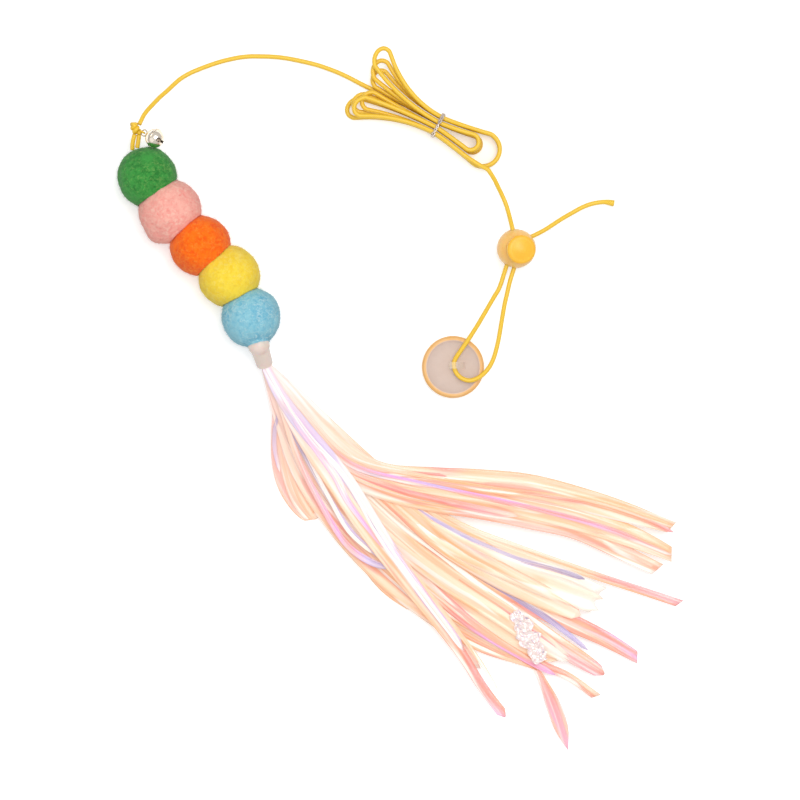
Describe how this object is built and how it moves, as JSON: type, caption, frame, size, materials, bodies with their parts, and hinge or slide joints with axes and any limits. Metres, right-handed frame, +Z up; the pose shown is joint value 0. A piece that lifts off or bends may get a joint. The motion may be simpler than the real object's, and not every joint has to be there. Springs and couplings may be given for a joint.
{
  "type": "cat teaser wand",
  "caption": "Hanging cat teaser: a film tassel and felt balls on an elastic cord with a jingle bell, a spare-cord hank, a cord lock and a stick-on hook.",
  "frame": {"origin": "centre of the sticky pad's outer face, on the table that the toy lies on", "axes": "+X to the right and +Y away from the viewer of the laid-out toy, +Z up from the table, out of the pad's back towards the hook"},
  "size_m": [0.2253, 0.2815, 0.0254],
  "materials": {
    "clear_amber": "clear amber moulding, glossy",
    "foam_pad": "matt foam",
    "elastic_cord": "braided elastic, matt",
    "string_elastic": "braided elastic, matt",
    "twist_tie": "wire in a clear skin",
    "lock_body": "translucent peach moulding",
    "lock_button": "golden moulding",
    "spring_steel": "drawn wire",
    "bell_metal": "nickel plated, polished",
    "pellet_steel": "plain steel",
    "sleeve_plastic": "satin off-white",
    "film": "iridescent film, glossy",
    "felt_green": "wool felt, matt and fuzzy",
    "felt_pink": "wool felt, matt and fuzzy",
    "felt_orange": "wool felt, matt and fuzzy",
    "felt_yellow": "wool felt, matt and fuzzy",
    "felt_blue": "wool felt, matt and fuzzy"
  },
  "bodies": {
    "hook": {"hook_base": "clear_amber", "adhesive_pad": "foam_pad"},
    "cord": {"cord_knot": "elastic_cord", "bell_loop": "elastic_cord", "cord_drop": "elastic_cord", "cord_lead": "elastic_cord", "cord_hank": "elastic_cord", "cord_loop": "elastic_cord", "hank_tie": "twist_tie"},
    "toggle": {"toggle_barrel": "lock_body", "toggle_spring": "spring_steel"},
    "button": {"toggle_button": "lock_button"},
    "bell": {"bell_eye": "bell_metal", "bell_upper_shell": "bell_metal", "bell_lower_shell": "bell_metal"},
    "pellet": {"bell_pellet": "pellet_steel"},
    "link_green": {"string_green": "string_elastic"},
    "ball_green": {"ball_green": "felt_green"},
    "link_pink": {"string_pink": "string_elastic"},
    "ball_pink": {"ball_pink": "felt_pink"},
    "link_orange": {"string_orange": "string_elastic"},
    "ball_orange": {"ball_orange": "felt_orange"},
    "link_yellow": {"string_yellow": "string_elastic"},
    "ball_yellow": {"ball_yellow": "felt_yellow"},
    "link_blue": {"string_blue": "string_elastic"},
    "ball_blue": {"ball_blue": "felt_blue"},
    "tassel": {"tassel_sleeve": "sleeve_plastic", "tassel_knot": "string_elastic", "strips_upper": "film", "strips_long": "film", "strips_middle": "film", "strips_lower": "film", "strips_blade": "film", "strips_left": "film", "strips_curved": "film"}
  },
  "joints": [
    {"name": "loop_slip", "type": "slide", "parent": "hook", "child": "cord", "axis": [-0.5739, -0.8189, 0], "range_m": [0, 0.008]},
    {"name": "toggle_slide", "type": "slide", "parent": "cord", "child": "toggle", "axis": [-0.309, -0.9511, 0], "range_m": [0, 0.01]},
    {"name": "button_press", "type": "slide", "parent": "toggle", "child": "button", "axis": [-0.1977, 0.0642, -0.9781], "range_m": [0, 0.002], "stiffness_N_per_m": 300, "springref_m": -0.002, "deforming": ["toggle_spring"]},
    {"name": "bell_swing", "type": "hinge", "parent": "cord", "child": "bell", "pos_m": [-0.1229, 0.09301, 0.0148], "axis": [-0.4465, 0.2284, 0.8651], "range_deg": [0, 35]},
    {"name": "pellet_rattle", "type": "slide", "parent": "bell", "child": "pellet", "axis": [0, 0, 1], "range_m": [0, 0.003]},
    {"name": "bend_green", "type": "hinge", "parent": "cord", "child": "link_green", "pos_m": [-0.1218, 0.0756, 0.01269], "axis": [0, 0, 1], "range_deg": [-24, 8]},
    {"name": "spin_green", "type": "hinge", "parent": "link_green", "child": "ball_green", "pos_m": [-0.1218, 0.0756, 0.01269], "axis": [0.5519, -0.8339, 0], "continuous": true},
    {"name": "bend_pink", "type": "hinge", "parent": "link_green", "child": "link_pink", "pos_m": [-0.11282, 0.06203, 0.01269], "axis": [0, 0, -1], "range_deg": [-8, 24]},
    {"name": "spin_pink", "type": "hinge", "parent": "link_pink", "child": "ball_pink", "pos_m": [-0.11282, 0.06203, 0.01269], "axis": [0.6626, -0.749, 0], "continuous": true},
    {"name": "bend_orange", "type": "hinge", "parent": "link_pink", "child": "link_orange", "pos_m": [-0.10064, 0.04827, 0.01269], "axis": [0, 0, 1], "range_deg": [-24, 8]},
    {"name": "spin_orange", "type": "hinge", "parent": "link_orange", "child": "ball_orange", "pos_m": [-0.10064, 0.04827, 0.01269], "axis": [0.6833, -0.7302, 0], "continuous": true},
    {"name": "bend_yellow", "type": "hinge", "parent": "link_orange", "child": "link_yellow", "pos_m": [-0.08922, 0.03606, 0.01269], "axis": [0, 0, -1], "range_deg": [-8, 24]},
    {"name": "spin_yellow", "type": "hinge", "parent": "link_yellow", "child": "ball_yellow", "pos_m": [-0.08922, 0.03606, 0.01269], "axis": [0.4648, -0.8854, 0], "continuous": true},
    {"name": "bend_blue", "type": "hinge", "parent": "link_yellow", "child": "link_blue", "pos_m": [-0.08064, 0.01972, 0.01269], "axis": [0, 0, 1], "range_deg": [-24, 8]},
    {"name": "spin_blue", "type": "hinge", "parent": "link_blue", "child": "ball_blue", "pos_m": [-0.08064, 0.01972, 0.01269], "axis": [0.2773, -0.9361, 0.2164], "continuous": true},
    {"name": "tassel_swing", "type": "hinge", "parent": "link_blue", "child": "tassel", "pos_m": [-0.07737, 0.00868, 0.01524], "axis": [0, 0, 1], "range_deg": [-20, 8]}
  ]
}
